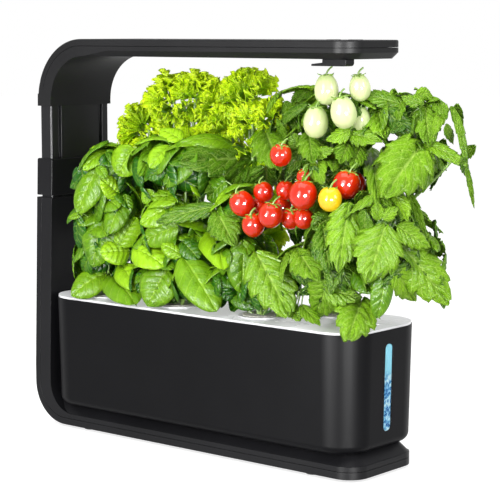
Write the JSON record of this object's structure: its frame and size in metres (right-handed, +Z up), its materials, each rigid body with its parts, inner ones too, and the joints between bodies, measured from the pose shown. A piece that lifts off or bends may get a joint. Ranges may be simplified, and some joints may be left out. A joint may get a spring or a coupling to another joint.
{
  "type": "countertop hydroponic garden",
  "caption": "Countertop garden: C-shaped stand with sliding grow lamp, lift-out water tank with pump, seed pod deck, lettuce, basil and a fruiting tomato plant.",
  "frame": {"origin": "on the table, under the middle of the bounding box of the whole garden, overhang included", "axes": "+X along the garden away from the column, -Y the front, +Z up"},
  "size_m": [0.474, 0.13, 0.3864],
  "materials": {
    "casing": "satin moulded black plastic, fine grain",
    "tank_shell": "smooth moulded black plastic, soft sheen",
    "mast_shell": "satin black extrusion",
    "deck_white": "white moulded plastic",
    "pod_white": "white moulded plastic",
    "sponge": "dark open foam",
    "lettuce_leaf": "lime green frilled leaves",
    "basil_leaf": "glossy domed green leaves",
    "tomato_leaf": "matt lobed green leaves",
    "ripe_tomato": "glossy red skin",
    "yellow_tomato": "glossy yellow skin",
    "green_tomato": "glossy pale green skin",
    "window_clear": "clear lens, pale blue water behind",
    "seal": "soft black rubber",
    "feet": "black rubber",
    "friction_pad": "grey felt",
    "steel": "plain bright steel",
    "rail_steel": "black coated strip",
    "brass": "plated contact",
    "board_green": "circuit board",
    "board_white": "white masked light board",
    "led_white": "warm white diode",
    "led_red": "deep red diode",
    "diffuser": "frosted clear plastic",
    "pump_body": "black moulded plastic",
    "pump_foam": "black filter foam",
    "tube": "clear grey hose",
    "button": "black button cap"
  },
  "bodies": {
    "stand": {"base_upper_housing": "casing", "base_lower_cover": "casing", "base_screws": "steel", "rubber_feet": "feet", "power_jack": "pump_body", "control_board": "board_green", "pump_contact_pins": "brass", "column_friction_pads": "friction_pad"},
    "collar_stage": {"collar": "casing", "collar_rails": "rail_steel", "collar_friction_pads": "friction_pad"},
    "lamp": {"mast": "mast_shell", "arm_housing": "casing", "arm_top_cover": "casing", "led_board": "board_white", "white_leds": "led_white", "red_leds": "led_red", "light_diffuser": "diffuser", "arm_screws": "steel", "button_board": "board_green", "support_hook": "casing"},
    "power_key": {"power_button": "button"},
    "mode_key": {"mode_button": "button"},
    "garden": {"tank": "tank_shell", "window_gasket": "seal", "window_lens": "window_clear", "tank_contact_pads": "brass", "pump_housing": "pump_body", "pump_cover": "pump_body", "pump_filter": "pump_foam", "outlet_tube": "tube", "deck": "deck_white", "flap_hinge_pin": "steel", "pod_basket_1": "pod_white", "pod_basket_2": "pod_white", "pod_basket_3": "pod_white", "pod_basket_4": "pod_white", "pod_basket_5": "pod_white", "pod_basket_6": "pod_white", "grow_sponge_1": "sponge", "grow_sponge_2": "sponge", "grow_sponge_3": "sponge", "grow_sponge_4": "sponge", "grow_sponge_5": "sponge", "grow_sponge_6": "sponge", "lettuce_left": "lettuce_leaf", "lettuce_right": "lettuce_leaf", "basil_left": "basil_leaf", "basil_middle": "basil_leaf", "basil_right": "basil_leaf", "tomato_plant": "tomato_leaf", "red_tomatoes": "ripe_tomato", "yellow_tomato": "yellow_tomato", "green_tomatoes": "green_tomato"},
    "impeller": {"pump_impeller": "board_white"},
    "flap": {"fill_flap": "deck_white"}
  },
  "joints": [
    {"name": "collar_slide", "type": "slide", "parent": "stand", "child": "collar_stage", "axis": [0, 0, 1], "range_m": [0, 0.08]},
    {"name": "lamp_slide", "type": "slide", "parent": "collar_stage", "child": "lamp", "axis": [0, 0, 1], "range_m": [-0.0516, 0], "deforming": ["lettuce_left", "lettuce_right", "basil_left", "basil_middle", "basil_right", "tomato_plant", "red_tomatoes", "yellow_tomato", "green_tomatoes"]},
    {"name": "power_press", "type": "slide", "parent": "lamp", "child": "power_key", "axis": [0, 0, -1], "range_m": [0, 0.001], "stiffness_N_per_m": 2000},
    {"name": "mode_press", "type": "slide", "parent": "lamp", "child": "mode_key", "axis": [0, 0, -1], "range_m": [0, 0.001], "stiffness_N_per_m": 2000},
    {"name": "tank_slide", "type": "slide", "parent": "stand", "child": "garden", "axis": [0, -1, 0], "range_m": [0, 0.2]},
    {"name": "flap_hinge", "type": "hinge", "parent": "garden", "child": "flap", "pos_m": [0.123, 0, 0.132], "axis": [0, -1, 0], "range_deg": [0, 95]},
    {"name": "impeller_spin", "type": "hinge", "parent": "garden", "child": "impeller", "pos_m": [0.067, -0.0105, 0.0412], "axis": [0, 1, 0], "continuous": true}
  ]
}
